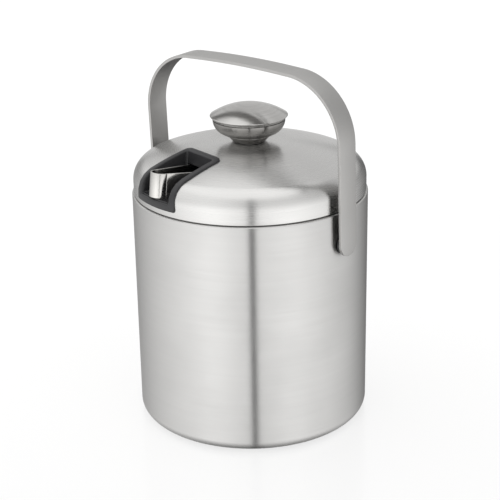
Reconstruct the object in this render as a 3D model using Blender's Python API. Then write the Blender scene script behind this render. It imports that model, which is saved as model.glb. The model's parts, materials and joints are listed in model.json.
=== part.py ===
"""Double-walled ice bucket with a lift-off lid, a swinging bail and stored tongs.

The bucket stands on z = 0 with its axis on Z. The bail's pivots lie on X. The lid
is turned a little about Z, and the tongs slide out of it along a sloping line.
"""
import math

import bmesh
import bpy
from mathutils import Matrix, Vector

MM = 0.001
GAP = 0.3
CUT_BEYOND = 5.0
SEGMENTS = 40
SHEET = 0.6

# Bucket
BODY_RADIUS = 75.0
RIM_Z = 150.6
RIM_LIP = 3.0
BASE_LIFT = 0.6
BASE_CORNER = 7.0
BASE_HOLE_INSET = 13.0
BASE_PLATE_LAP = 4.0
WALL_SPACE = 6.7
LINER_FLOOR_Z = 14.0
LINER_CORNER = 12.0
LINER_HEM = 4.0
FOOT_WIDTH = 9.0

# Bail and its pivots
PIVOT_DROP = 19.9
BAIL_FINGER_ROOM = 26.2
BAIL_SIDE_GAP = 2.3
BAIL_WIDTH = 15.3
BAIL_THICKNESS = 1.84
BAIL_CORNER = 40.2
BAIL_CROWN = 1.1
BAIL_LEAN = 2.08
STUD_RADIUS = 2.5
STUD_CLEARANCE = 0.4
STUD_END_ROOM = 1.3
BUSH_WALL = 1.1
BUSH_END_ROOM = 3.1
BUSH_FLANGE_LIP = 2.9
BUSH_FLANGE = 1.0
WASHER_THICKNESS = 0.4
WASHER_LIP = 4.5
RING_THICKNESS = 0.8
RING_LIP = 2.1
PLATE_THICKNESS = 1.3
PLATE_HALF_HEIGHT = 12.0
PLATE_HALF_ANGLE = 9.0

# Lid
SEAM = 1.0
LID_TURN = -11.1
LID_INSET = 1.0
SHOULDER_RADIUS = 13.4
SHOULDER_RISE = 7.7
DOME_RADIUS = 190.0
DISH_RADIUS = 60.0
DISH_DROP = 1.6
HEM_THICKNESS = 0.5
HEM_WIDTH = 2.2
PLUG_CLEARANCE = 2.5
PLUG_CORNER = 3.0
SEAL_WIDTH = 5.6
FOAM_SPACE = 2.0

# Knob
KNOB_FOOT_RADIUS = 10.9
KNOB_NECK_RADIUS = 14.1
KNOB_FOOT_HEIGHT = 4.95
KNOB_BOWL_RADIUS = 22.9
KNOB_BOWL_HEIGHT = 9.45
KNOB_RIM_RADIUS = 24.5
KNOB_RIM_HEIGHT = 2.5
KNOB_CAP_RISE = 7.3
KNOB_EDGE = 0.5
KNOB_WALL = 1.4
KNOB_STUD_RADIUS = 3.0
KNOB_HEAD_LIP = 3.5
KNOB_HEAD = 3.0
NUT_WASHER = 1.0
NUT_WASHER_LIP = 6.0
NUT_HEIGHT = 4.0
STUD_PROUD = 1.0
NUT_WALL = 2.5

# Tongs and the well that holds them
TONGS_TILT = 7.0
TONGS_STRIP = 15.3
TONGS_SHEET = 1.0
BOW_RADIUS = 6.0
BOW_INSET = 4.8
BOW_RISE = 16.4
ARM_SPREAD = 8.5
ARM_SPREAD_LENGTH = 28.0
TIP_LENGTH = 7.0
TIP_BEND = 35.0
WELL_WALL = 1.2
WELL_CLEARANCE = 0.5
SLEEVE_STEP = 0.1
SLEEVE_SIDE = 1.7
SLEEVE_END_ROOM = 4.8
SLEEVE_FLOOR_ROOM = 2.6
WELL_LENGTH = 35.5
WELL_SHOULDER = 1.0
WELL_FLARE = 1.4
FLANGE_BACK_WIDTH = 4.5
FLANGE_SIDE_WIDTH = 4.0
FLANGE_FRONT_WIDTH = 4.6
FLANGE_CORNER = 4.5
FLANGE_RAISE = 1.4
FLANGE_LOW = 2.8

# Worked out from the above
BODY_INNER = BODY_RADIUS - SHEET
RIM_INNER_RADIUS = BODY_RADIUS - RIM_LIP
BASE_HOLE_RADIUS = BODY_RADIUS - BASE_HOLE_INSET
LINER_OUTER = BODY_RADIUS - WALL_SPACE
LINER_INNER = LINER_OUTER - SHEET
PIVOT_Z = RIM_Z - PIVOT_DROP
BAIL_INNER_X = BODY_RADIUS + BAIL_SIDE_GAP
BAIL_OUTER_X = BAIL_INNER_X + BAIL_THICKNESS

LID_RADIUS = BODY_RADIUS - LID_INSET
LID_Z = RIM_Z + SEAM
HEM_INNER_RADIUS = LID_RADIUS - HEM_WIDTH
SHOULDER_X = LID_RADIUS - SHOULDER_RADIUS
SHOULDER_Z = LID_Z + SHOULDER_RISE
DOME_CENTRE_Z = SHOULDER_Z - math.sqrt((DOME_RADIUS - SHOULDER_RADIUS) ** 2 - SHOULDER_X ** 2)
SEAT_Z = DOME_CENTRE_Z + DOME_RADIUS - DISH_DROP
KNOB_TOP_Z = SEAT_Z + KNOB_FOOT_HEIGHT + KNOB_BOWL_HEIGHT + KNOB_RIM_HEIGHT + KNOB_CAP_RISE
BAIL_TOP_Z = KNOB_TOP_Z + BAIL_FINGER_ROOM + BAIL_THICKNESS
PAN_TOP_Z = LID_Z + HEM_THICKNESS + GAP
PLUG_RADIUS = LINER_INNER - PLUG_CLEARANCE

TILT = math.radians(TONGS_TILT)
BOW_OUT = LID_RADIUS - BOW_INSET
BOW_Z = LID_Z + BOW_RISE
BOW_HALF = TONGS_STRIP / 2.0
SLEEVE_HALF_HEIGHT = BOW_HALF + WELL_CLEARANCE
ARM_OFFSET = BOW_RADIUS + ARM_SPREAD_LENGTH * math.sin(math.radians(ARM_SPREAD))
SLEEVE_HALF_WIDTH = ARM_OFFSET + SLEEVE_SIDE
SLEEVE_OUT = SLEEVE_HALF_WIDTH + WELL_WALL
SLEEVE_REACH = math.sqrt((PLUG_RADIUS - SHEET - SLEEVE_END_ROOM) ** 2 - SLEEVE_OUT ** 2)
SLEEVE_END = (BOW_OUT + SLEEVE_REACH) / math.cos(TILT)
ARM_LENGTH = SLEEVE_END - WELL_WALL - WELL_CLEARANCE
SLEEVE_LOW_Z = BOW_Z - (SLEEVE_HALF_HEIGHT + WELL_WALL) * math.cos(TILT) - SLEEVE_END * math.sin(TILT)
PAN_FLOOR_Z = SLEEVE_LOW_Z - SLEEVE_FLOOR_ROOM - SHEET

WELL_BACK = LID_RADIUS - WELL_LENGTH
WELL_BACK_HALF = SLEEVE_HALF_WIDTH + WELL_SHOULDER
WELL_FRONT_HALF = WELL_BACK_HALF + WELL_FLARE
FLANGE_BACK = WELL_BACK - FLANGE_BACK_WIDTH
FLANGE_BACK_HALF = WELL_BACK_HALF + FLANGE_SIDE_WIDTH
FLANGE_FRONT_HALF = WELL_FRONT_HALF + FLANGE_FRONT_WIDTH
INSULATION_SPLIT = WELL_FRONT_HALF + WELL_WALL + 1.0


def clear_scene():
    for item in list(bpy.data.objects):
        bpy.data.objects.remove(item, do_unlink=True)


def material(name, color, roughness, metallic):
    made = bpy.data.materials.new(name)
    made.use_nodes = True
    shader = made.node_tree.nodes["Principled BSDF"]
    shader.inputs["Base Color"].default_value = (*color, 1.0)
    shader.inputs["Roughness"].default_value = roughness
    shader.inputs["Metallic"].default_value = metallic
    return made


def finish_mesh(bm, name, color, roughness, metallic):
    """Turn a bmesh that was drawn in millimetres into an object."""
    bmesh.ops.remove_doubles(bm, verts=bm.verts, dist=0.01)
    bmesh.ops.recalc_face_normals(bm, faces=bm.faces)
    bmesh.ops.scale(bm, vec=(MM, MM, MM), verts=bm.verts)
    mesh = bpy.data.meshes.new(name)
    bm.to_mesh(mesh)
    bm.free()
    mesh.shade_smooth()
    mesh.set_sharp_from_angle(angle=math.radians(35))
    made = bpy.data.objects.new(name, mesh)
    made.data.materials.append(material(name, color, roughness, metallic))
    bpy.context.collection.objects.link(made)
    return made


STEEL = ((0.62, 0.61, 0.60), 0.32, 1.0)
POLISHED = ((0.70, 0.70, 0.70), 0.12, 1.0)
BLACK_PLASTIC = ((0.03, 0.03, 0.032), 0.38, 0.0)
FOAM = ((0.80, 0.76, 0.62), 0.9, 0.0)
RUBBER = ((0.05, 0.05, 0.05), 0.8, 0.0)


def arc(cx, cz, radius, start, end, steps):
    """Points on an arc, from one angle to another in degrees."""
    points = []
    for i in range(steps + 1):
        angle = math.radians(start + (end - start) * i / steps)
        points.append((cx + radius * math.cos(angle), cz + radius * math.sin(angle)))
    return points


def turned(name, profile, look, segments=SEGMENTS):
    """Spin a closed profile of (radius, height) points about Z."""
    bm = bmesh.new()
    verts = [bm.verts.new((r, 0.0, z)) for r, z in profile]
    edges = []
    for first, second in zip(verts, verts[1:] + verts[:1]):
        if first.co.x > 0.0 or second.co.x > 0.0:
            edges.append(bm.edges.new((first, second)))
    bmesh.ops.spin(
        bm,
        geom=verts + edges,
        cent=(0, 0, 0),
        axis=(0, 0, 1),
        angle=math.tau,
        steps=segments,
        use_merge=True,
    )
    return finish_mesh(bm, name, *look)


def prism(name, outline, low, high, look):
    """Extrude a closed outline of (x, y) points from one height to another."""
    bm = bmesh.new()
    verts = [bm.verts.new((x, y, low)) for x, y in outline]
    face = bm.faces.new(verts)
    raised = bmesh.ops.extrude_face_region(bm, geom=[face])
    moved = [v for v in raised["geom"] if isinstance(v, bmesh.types.BMVert)]
    bmesh.ops.translate(bm, vec=(0, 0, high - low), verts=moved)
    return finish_mesh(bm, name, *look)


def box(name, low, high, look):
    outline = [(low[0], low[1]), (high[0], low[1]), (high[0], high[1]), (low[0], high[1])]
    return prism(name, outline, low[2], high[2], look)


def disc_on_x(name, x_low, x_high, radius, hole, look, segments=24):
    """A ring or disc whose axis is X, with its middle on that axis."""
    profile = [(hole, x_low), (radius, x_low), (radius, x_high), (hole, x_high)]
    made = turned(name, profile, look, segments)
    made.data.transform(Matrix.Rotation(math.radians(90), 4, "Y"))
    return made


def ribbon(name, path, half_widths, thickness, across, look):
    """A flat strip: path points with the side it thickens to, and its half width there."""
    bm = bmesh.new()
    rows = []
    for (point, normal), half in zip(path, half_widths):
        row = []
        for side, depth in ((-1, 0), (1, 0), (1, 1), (-1, 1)):
            place = Vector(point) + Vector(across) * side * half + Vector(normal) * depth * thickness
            row.append(bm.verts.new(place))
        rows.append(row)
    for first, second in zip(rows, rows[1:]):
        for i in range(4):
            j = (i + 1) % 4
            bm.faces.new((first[i], first[j], second[j], second[i]))
    bm.faces.new(rows[0])
    bm.faces.new(rows[-1])
    return finish_mesh(bm, name, *look)


def frame_at(name, location, rotation, parent=None):
    empty = bpy.data.objects.new(name, None)
    empty.location = Vector(location) * MM
    empty.rotation_euler = [math.radians(a) for a in rotation]
    empty.parent = parent
    bpy.context.collection.objects.link(empty)
    return empty


def hang_on(parent, *pieces):
    for piece in pieces:
        piece.parent = parent


def combine(target, cutter, operation):
    """Cut with, join with or keep what is inside another object."""
    cutter.hide_render = True
    cutter.display_type = "WIRE"
    step = target.modifiers.new(cutter.name, "BOOLEAN")
    step.operation = operation
    step.solver = "EXACT"
    step.object = cutter


def build_bucket():
    """The double wall: outer shell, liner, foam, base plate and foot ring."""
    corner_x = BODY_RADIUS - BASE_CORNER
    corner_z = BASE_LIFT + BASE_CORNER
    shell = [(BASE_HOLE_RADIUS, BASE_LIFT)]
    shell += arc(corner_x, corner_z, BASE_CORNER, -90, 0, 4)
    shell += arc(BODY_RADIUS - 1.0, RIM_Z - 1.0, 1.0, 0, 90, 2)
    shell += [(RIM_INNER_RADIUS, RIM_Z), (RIM_INNER_RADIUS, RIM_Z - SHEET), (BODY_INNER, RIM_Z - SHEET)]
    shell += arc(corner_x, corner_z, BASE_CORNER - SHEET, 0, -90, 4)
    shell += [(BASE_HOLE_RADIUS, BASE_LIFT + SHEET)]
    outer_shell = turned("outer_shell", shell, STEEL)

    hem = RIM_INNER_RADIUS - GAP
    floor_x = LINER_OUTER - LINER_CORNER
    floor_z = LINER_FLOOR_Z + LINER_CORNER
    liner = [(0, LINER_FLOOR_Z)]
    liner += arc(floor_x, floor_z, LINER_CORNER, -90, 0, 4)
    liner += [(LINER_OUTER, RIM_Z - SHEET), (hem - SHEET, RIM_Z - SHEET), (hem - SHEET, RIM_Z - LINER_HEM)]
    liner += [(hem, RIM_Z - LINER_HEM), (hem, RIM_Z), (LINER_INNER, RIM_Z)]
    liner += arc(floor_x, floor_z, LINER_CORNER - SHEET, 0, -90, 4)
    liner += [(0, LINER_FLOOR_Z + SHEET)]
    turned("inner_liner", liner, STEEL)

    plate_low = BASE_LIFT + SHEET + GAP
    plate_high = plate_low + SHEET
    plate_radius = BASE_HOLE_RADIUS + BASE_PLATE_LAP
    plate = [(0, plate_low), (plate_radius, plate_low), (plate_radius, plate_high), (0, plate_high)]
    turned("base_plate", plate, STEEL)

    foot_out = BASE_HOLE_RADIUS - GAP
    foot_top = plate_low - GAP
    foot = [(foot_out - FOOT_WIDTH, 0), (foot_out, 0), (foot_out, foot_top), (foot_out - FOOT_WIDTH, foot_top)]
    turned("foot_ring", foot, RUBBER)

    foam_out = BODY_INNER - PLATE_THICKNESS - 2.0 * GAP
    foam_in = LINER_OUTER + GAP
    foam_low = plate_high + GAP
    foam_top = RIM_Z - LINER_HEM - GAP
    foam = [(0, foam_low), (plate_radius, foam_low), (foam_out, foam_low + BASE_CORNER)]
    foam += [(foam_out, foam_top), (foam_in, foam_top)]
    foam += arc(floor_x, floor_z, LINER_CORNER + GAP, 0, -90, 4)
    foam += [(0, LINER_FLOOR_Z - GAP)]
    insulation = turned("wall_insulation", foam, FOAM)
    return outer_shell, insulation


def build_pivot(side, name, axis_frame, bail_frame, outer_shell, insulation):
    """One pivot: plate, bush, washer, stud and retaining ring, all on the X axis."""
    bore = STUD_RADIUS + STUD_CLEARANCE
    bush_out = bore + BUSH_WALL
    bush_in_x = LINER_OUTER + BUSH_END_ROOM
    flange_radius = bush_out + BUSH_FLANGE_LIP
    flange_in = BODY_RADIUS + GAP
    flange_out = flange_in + BUSH_FLANGE
    bush = [(bore, bush_in_x), (bush_out, bush_in_x), (bush_out, flange_in), (flange_radius, flange_in)]
    bush += [(flange_radius, flange_out), (bore, flange_out)]
    pivot_bush = turned("pivot_bush_" + name, bush, BLACK_PLASTIC, 24)
    pivot_bush.data.transform(Matrix.Rotation(math.radians(90), 4, "Y"))

    plate_out = BODY_INNER - GAP
    plate_low = PIVOT_Z - PLATE_HALF_HEIGHT
    plate_high = PIVOT_Z + PLATE_HALF_HEIGHT
    half = math.radians(PLATE_HALF_ANGLE)
    steps = 6
    outline = []
    for radius, ends in ((plate_out, (-half, half)), (plate_out - PLATE_THICKNESS, (half, -half))):
        for i in range(steps + 1):
            angle = ends[0] + (ends[1] - ends[0]) * i / steps
            outline.append((radius * math.cos(angle), radius * math.sin(angle)))
    plate = prism("pivot_plate_" + name, outline, plate_low, plate_high, STEEL)

    washer_in = flange_out + GAP
    washer_hole = STUD_RADIUS + GAP
    washer_out = washer_in + WASHER_THICKNESS
    washer_radius = STUD_RADIUS + WASHER_LIP
    washer = disc_on_x("friction_washer_" + name, washer_in, washer_out, washer_radius, washer_hole, POLISHED)
    stud_in = LINER_OUTER + STUD_END_ROOM
    stud = disc_on_x("pivot_stud_" + name, stud_in, BAIL_INNER_X - GAP, STUD_RADIUS, 0.0, POLISHED)
    ring_out = bush_in_x - GAP
    ring_in = ring_out - RING_THICKNESS
    ring_radius = STUD_RADIUS + RING_LIP
    ring = disc_on_x("retaining_ring_" + name, ring_in, ring_out, ring_radius, washer_hole, POLISHED)
    hole = disc_on_x("bore_cut_" + name, LINER_OUTER - CUT_BEYOND, BODY_RADIUS + CUT_BEYOND, bush_out + GAP, 0.0, STEEL)
    pocket = disc_on_x("foam_cut_" + name, LINER_OUTER - CUT_BEYOND, BODY_RADIUS + CUT_BEYOND, bush_out + FOAM_SPACE, 0.0, FOAM)

    turn = Matrix.Rotation(0.0 if side > 0 else math.pi, 4, "Z")
    for piece in (pivot_bush, plate, washer, stud, ring, hole, pocket):
        piece.data.transform(turn)
    hang_on(axis_frame, pivot_bush, hole, pocket)
    hang_on(bail_frame, washer, stud, ring)
    combine(outer_shell, hole, "DIFFERENCE")
    combine(insulation, pocket, "DIFFERENCE")
    plate_hole = disc_on_x("plate_cut_" + name, LINER_OUTER, BODY_RADIUS + CUT_BEYOND, bush_out + GAP, 0.0, STEEL)
    plate_hole.data.transform(turn)
    hang_on(axis_frame, plate_hole)
    combine(plate, plate_hole, "DIFFERENCE")


def build_bail(bail_frame):
    """A strip bent over the lid, with round ends at the pivots. Heights are from the pivot axis."""
    top = BAIL_TOP_Z - PIVOT_Z
    corner_x = BAIL_OUTER_X - BAIL_CORNER
    corner_z = top - BAIL_CROWN - BAIL_CORNER
    half = BAIL_WIDTH / 2.0
    end_steps = 6
    right = []
    widths = []
    for i in range(end_steps + 1):
        angle = math.radians(-84 + 84 * i / end_steps)
        right.append(((BAIL_OUTER_X, 0, half * math.sin(angle)), (-1, 0, 0)))
        widths.append(half * math.cos(angle))
    for i in range(11):
        angle = math.radians(90.0 * i / 10)
        normal = (-math.cos(angle), 0, -math.sin(angle))
        right.append(((corner_x - normal[0] * BAIL_CORNER, 0, corner_z - normal[2] * BAIL_CORNER), normal))
        widths.append(half)
    crown = corner_x
    for i in range(1, 5):
        x = crown * (1 - i / 4.0)
        right.append(((x, 0, top - BAIL_CROWN * (x / crown) ** 2), (0, 0, -1)))
        widths.append(half)
    left = [((-p[0], 0, p[2]), (-n[0], 0, n[2])) for p, n in reversed(right[:-1])]
    path = right + left
    half_widths = widths + widths[-2::-1]
    bail = ribbon("bail_handle", path, half_widths, BAIL_THICKNESS, (0, 1, 0), STEEL)
    hang_on(bail_frame, bail)


def dome_outline(offset):
    """The lid's outside from its rim to its middle, moved outwards by an offset."""
    dish_z = SEAT_Z - DISH_RADIUS
    dish_reach = DOME_RADIUS - DISH_RADIUS
    dish_x = math.sqrt(dish_reach ** 2 - (dish_z - DOME_CENTRE_Z) ** 2)
    lean = math.degrees(math.atan2(SHOULDER_Z - DOME_CENTRE_Z, SHOULDER_X))
    dish_lean = math.degrees(math.atan2(dish_z - DOME_CENTRE_Z, dish_x))
    points = arc(SHOULDER_X, SHOULDER_Z, SHOULDER_RADIUS + offset, 0, lean, 5)
    points += arc(0, DOME_CENTRE_Z, DOME_RADIUS + offset, lean, dish_lean, 3)[1:]
    points += arc(dish_x, dish_z, DISH_RADIUS + offset, dish_lean, 90, 1)[1:]
    return points


def build_lid(lid_frame):
    """The dome, the pan that plugs the mouth, the seal and the foam."""
    hole = KNOB_STUD_RADIUS + GAP
    outside = dome_outline(0.0)
    inside = dome_outline(-SHEET)
    wall_in = LID_RADIUS - SHEET
    dome = [(HEM_INNER_RADIUS, LID_Z), (LID_RADIUS, LID_Z)] + outside + [(hole, SEAT_Z)]
    dome += [(hole, SEAT_Z - SHEET)] + inside[::-1]
    dome += [(wall_in, LID_Z + HEM_THICKNESS), (HEM_INNER_RADIUS, LID_Z + HEM_THICKNESS)]
    lid_dome = turned("lid_dome", dome, STEEL)

    pan_edge = wall_in - GAP
    corner_x = PLUG_RADIUS - PLUG_CORNER
    corner_z = PAN_FLOOR_Z + PLUG_CORNER
    pan = [(0, PAN_FLOOR_Z)] + arc(corner_x, corner_z, PLUG_CORNER, -90, 0, 3)
    pan += [(PLUG_RADIUS, PAN_TOP_Z), (pan_edge, PAN_TOP_Z), (pan_edge, PAN_TOP_Z + SHEET)]
    pan += [(PLUG_RADIUS - SHEET, PAN_TOP_Z + SHEET)]
    pan += arc(corner_x, corner_z, PLUG_CORNER - SHEET, 0, -90, 3) + [(0, PAN_FLOOR_Z + SHEET)]
    lid_pan = turned("lid_pan", pan, STEEL)

    seal_in = PLUG_RADIUS + GAP
    seal_out = min(seal_in + SEAL_WIDTH, HEM_INNER_RADIUS - GAP)
    seal_low = RIM_Z + GAP
    seal_high = PAN_TOP_Z - GAP
    seal = [(seal_in, seal_low), (seal_out, seal_low), (seal_out, seal_high), (seal_in, seal_high)]
    lid_seal = turned("lid_seal", seal, RUBBER)

    foam_plug = PLUG_RADIUS - SHEET - GAP
    foam_low = PAN_FLOOR_Z + SHEET + GAP
    foam_step = PAN_TOP_Z + SHEET + GAP
    cap = [p for p in dome_outline(-SHEET - FOAM_SPACE) if p[1] > SHOULDER_Z + 1.0]
    for name, side in (("left", -1), ("right", 1)):
        foam = [(0, foam_low)] + arc(corner_x, corner_z, PLUG_CORNER - SHEET - GAP, -90, 0, 3)
        foam += [(foam_plug, foam_step), (pan_edge - FOAM_SPACE, foam_step)]
        foam += cap + [(0, cap[-1][1])]
        half = turned("lid_insulation_" + name, foam, FOAM)
        far = side * (LID_RADIUS + CUT_BEYOND)
        near = side * INSULATION_SPLIT
        low = (min(near, far), -LID_RADIUS - CUT_BEYOND, PAN_FLOOR_Z - CUT_BEYOND)
        high = (max(near, far), LID_RADIUS + CUT_BEYOND, SEAT_Z + CUT_BEYOND)
        keep = box("foam_side_" + name, low, high, FOAM)
        hang_on(lid_frame, half, keep)
        combine(half, keep, "INTERSECT")
    hang_on(lid_frame, lid_dome, lid_pan, lid_seal)
    return lid_dome


def well_outline(grow, front):
    """The well's opening seen from above: narrow at the back, open at the front."""
    back = -(WELL_BACK - BOW_OUT - grow)
    slope = WELL_FLARE / WELL_LENGTH
    half_back = WELL_BACK_HALF + grow
    half_front = half_back + slope * (front - WELL_BACK)
    tip = -(front - BOW_OUT)
    return [(half_back, back), (-half_back, back), (-half_front, tip), (half_front, tip)]


def flange_outline():
    """The raised flange seen from above, with round back corners."""
    front = LID_RADIUS + 6.0
    spread = math.degrees(math.atan2(FLANGE_FRONT_HALF - FLANGE_BACK_HALF, front - FLANGE_BACK))
    centre_x = FLANGE_BACK_HALF - FLANGE_CORNER
    centre_y = -(FLANGE_BACK + FLANGE_CORNER)
    right = arc(centre_x, centre_y, FLANGE_CORNER, spread, 90, 5)
    left = [(-x, y) for x, y in reversed(right)]
    return [(FLANGE_FRONT_HALF, -front)] + right + left + [(-FLANGE_FRONT_HALF, -front)]


def dome_solid(name, offset):
    """A solid of the lid's outside shape, moved out by an offset, for cutting."""
    points = dome_outline(offset)
    below = LID_Z - CUT_BEYOND
    profile = [(0, below), (LID_RADIUS + offset, below)] + points + [(0, SEAT_Z + offset)]
    return turned(name, profile, STEEL)


def build_well(lid_frame, tongs_frame, lid_dome):
    """The open well with its flange on the dome, and the sleeve that runs from it across the lid."""
    floor = -SLEEVE_HALF_HEIGHT
    above = SEAT_Z - BOW_Z + 4 * CUT_BEYOND
    beyond = LID_RADIUS + 2 * CUT_BEYOND
    start = BOW_OUT - WELL_BACK
    well = prism("tongs_well", flange_outline(), LID_Z + FLANGE_LOW, SEAT_Z + 2 * CUT_BEYOND, BLACK_PLASTIC)
    keep = dome_solid("well_skin_out", FLANGE_RAISE)
    drop = dome_solid("well_skin_in", GAP)
    hull = prism("well_hull", well_outline(WELL_WALL, beyond), floor - WELL_WALL, above, BLACK_PLASTIC)
    pocket = prism("well_pocket", well_outline(0.0, beyond + CUT_BEYOND), floor, above + CUT_BEYOND, BLACK_PLASTIC)
    hollow_low = (-SLEEVE_HALF_WIDTH, start - CUT_BEYOND, floor + SLEEVE_STEP)
    hollow_high = (SLEEVE_HALF_WIDTH, SLEEVE_END - WELL_WALL, -floor)
    slot = box("well_slot", hollow_low, hollow_high, BLACK_PLASTIC)
    hang_on(lid_frame, well, keep, drop)
    hang_on(tongs_frame, hull, pocket, slot)
    combine(well, drop, "DIFFERENCE")
    combine(well, hull, "UNION")
    combine(well, keep, "INTERSECT")
    combine(well, pocket, "DIFFERENCE")
    combine(well, slot, "DIFFERENCE")

    sleeve_low = (-SLEEVE_OUT, start + WELL_WALL + GAP, floor - WELL_WALL + SLEEVE_STEP)
    sleeve = box("tongs_sleeve", sleeve_low, (SLEEVE_OUT, SLEEVE_END, -floor + WELL_WALL), BLACK_PLASTIC)
    hollow = box("sleeve_hollow", hollow_low, hollow_high, BLACK_PLASTIC)
    hang_on(tongs_frame, sleeve, hollow)
    combine(sleeve, hollow, "DIFFERENCE")

    mouth_outline = well_outline(WELL_WALL + GAP, beyond)
    mouth = prism("dome_mouth", mouth_outline, floor - WELL_WALL - GAP, above, STEEL)
    hang_on(tongs_frame, mouth)
    combine(lid_dome, mouth, "DIFFERENCE")


def build_knob(lid_frame):
    """Foot, bowl and cap on a stud that a nut holds under the dome."""
    bore = KNOB_STUD_RADIUS + GAP
    foot_low = SEAT_Z + GAP
    foot_high = SEAT_Z + KNOB_FOOT_HEIGHT
    foot = [(bore, foot_low), (KNOB_FOOT_RADIUS, foot_low), (KNOB_NECK_RADIUS, foot_high - KNOB_EDGE)]
    foot += [(KNOB_NECK_RADIUS, foot_high), (bore, foot_high)]
    knob_foot = turned("knob_foot", foot, STEEL)

    bowl_low = foot_high + GAP
    bowl_high = SEAT_Z + KNOB_FOOT_HEIGHT + KNOB_BOWL_HEIGHT
    bowl_rise = bowl_high - bowl_low
    bowl_reach = KNOB_BOWL_RADIUS - KNOB_NECK_RADIUS
    outer = []
    inner = []
    bowl_steps = 5
    for i in range(bowl_steps + 1):
        angle = math.radians(90.0 * i / bowl_steps)
        outer.append((KNOB_NECK_RADIUS + bowl_reach * math.sin(angle), bowl_high - bowl_rise * math.cos(angle)))
        inner_rise = bowl_rise - KNOB_WALL
        inner_reach = bowl_reach - KNOB_WALL
        inner.append((KNOB_NECK_RADIUS + inner_reach * math.sin(angle), bowl_high - inner_rise * math.cos(angle)))
    bowl = [(bore, bowl_low)] + outer + inner[::-1] + [(bore, bowl_low + KNOB_WALL)]
    knob_bowl = turned("knob_bowl", bowl, STEEL)

    cap_low = bowl_high + GAP
    rim_z = bowl_high + KNOB_RIM_HEIGHT
    sphere = (KNOB_RIM_RADIUS ** 2 + KNOB_CAP_RISE ** 2) / (2.0 * KNOB_CAP_RISE)
    edge = math.degrees(math.asin(KNOB_RIM_RADIUS / sphere))
    sphere_z = rim_z + KNOB_CAP_RISE - sphere
    cap_in = KNOB_BOWL_RADIUS - KNOB_WALL
    cap = [(cap_in, cap_low), (KNOB_BOWL_RADIUS, cap_low), (KNOB_RIM_RADIUS, rim_z - KNOB_EDGE)]
    cap += arc(0, sphere_z, sphere, 90 - edge, 90, 5)
    cap += [(0, rim_z + KNOB_CAP_RISE - KNOB_WALL), (cap_in, rim_z - KNOB_EDGE)]
    knob_cap = turned("knob_cap", cap, STEEL)

    head_low = bowl_low + KNOB_WALL + GAP
    washer_high = SEAT_Z - SHEET - GAP
    washer_low = washer_high - NUT_WASHER
    nut_high = washer_low - GAP
    head_radius = KNOB_STUD_RADIUS + KNOB_HEAD_LIP
    nut_radius = KNOB_STUD_RADIUS + GAP + NUT_WALL
    washer_radius = KNOB_STUD_RADIUS + NUT_WASHER_LIP
    stud_low = nut_high - NUT_HEIGHT - STUD_PROUD
    stud = [(0, stud_low), (KNOB_STUD_RADIUS, stud_low), (KNOB_STUD_RADIUS, head_low)]
    stud += [(head_radius, head_low), (head_radius, head_low + KNOB_HEAD), (0, head_low + KNOB_HEAD)]
    knob_stud = turned("knob_stud", stud, POLISHED, 24)
    washer = [(bore, washer_low), (washer_radius, washer_low)]
    washer += [(washer_radius, washer_high), (bore, washer_high)]
    knob_washer = turned("knob_washer", washer, POLISHED, 24)
    nut_low = nut_high - NUT_HEIGHT
    nut = [(0, nut_low), (nut_radius, nut_low), (nut_radius, nut_high), (0, nut_high)]
    knob_nut = turned("knob_nut", nut, POLISHED, 6)
    thread = [(0, nut_low - CUT_BEYOND), (bore, nut_low - CUT_BEYOND), (bore, nut_high + CUT_BEYOND)]
    thread += [(0, nut_high + CUT_BEYOND)]
    nut_bore = turned("nut_bore", thread, POLISHED, 24)
    hang_on(lid_frame, knob_foot, knob_bowl, knob_cap, knob_stud, knob_washer, knob_nut, nut_bore)
    combine(knob_nut, nut_bore, "DIFFERENCE")


def build_tongs(tongs_frame):
    """A strip on edge: a round bow and two arms that spread and then run parallel."""
    spread = math.radians(ARM_SPREAD)
    bow = []
    steps = 12
    for i in range(steps + 1):
        angle = -math.pi / 2 - spread + (math.pi + 2 * spread) * i / steps
        normal = (-math.sin(angle), math.cos(angle), 0)
        bow.append(((-normal[0] * BOW_RADIUS, -normal[1] * BOW_RADIUS, 0), normal))
    tongs_bow = ribbon("tongs_bow", bow, [BOW_HALF] * len(bow), TONGS_SHEET, (0, 0, 1), POLISHED)
    hang_on(tongs_frame, tongs_bow)

    hinge_x = (BOW_RADIUS - TONGS_SHEET / 2.0) * math.cos(spread)
    hinge_y = (BOW_RADIUS - TONGS_SHEET / 2.0) * math.sin(spread)
    for name, side in (("near", 1), ("far", -1)):
        hinge = frame_at("tongs_hinge_" + name, (side * hinge_x, hinge_y, 0), (0, 0, 0), tongs_frame)
        run = [0.0, ARM_SPREAD_LENGTH - 4.0, ARM_SPREAD_LENGTH - 1.3, ARM_SPREAD_LENGTH + 1.3]
        run += [ARM_SPREAD_LENGTH + 4.0, ARM_LENGTH - TIP_LENGTH - 2.0, ARM_LENGTH - TIP_LENGTH, ARM_LENGTH]
        lean = [spread, spread, spread * 0.67, spread * 0.33, 0.0, 0.0]
        lean += [-math.radians(TIP_BEND) / 2, -math.radians(TIP_BEND)]
        x = BOW_RADIUS * math.cos(spread)
        y = BOW_RADIUS * math.sin(spread)
        x += GAP * math.sin(spread)
        y += GAP * math.cos(spread)
        path = []
        for i, distance in enumerate(run):
            if i:
                step = distance - run[i - 1]
                x += step * math.sin(lean[i])
                y += step * math.cos(lean[i])
            normal = (-side * math.cos(lean[i]), math.sin(lean[i]), 0)
            path.append(((side * (x - hinge_x), y - hinge_y, 0), normal))
        arm = ribbon("tongs_arm_" + name, path, [BOW_HALF] * len(path), TONGS_SHEET, (0, 0, 1), POLISHED)
        hang_on(hinge, arm)


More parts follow.
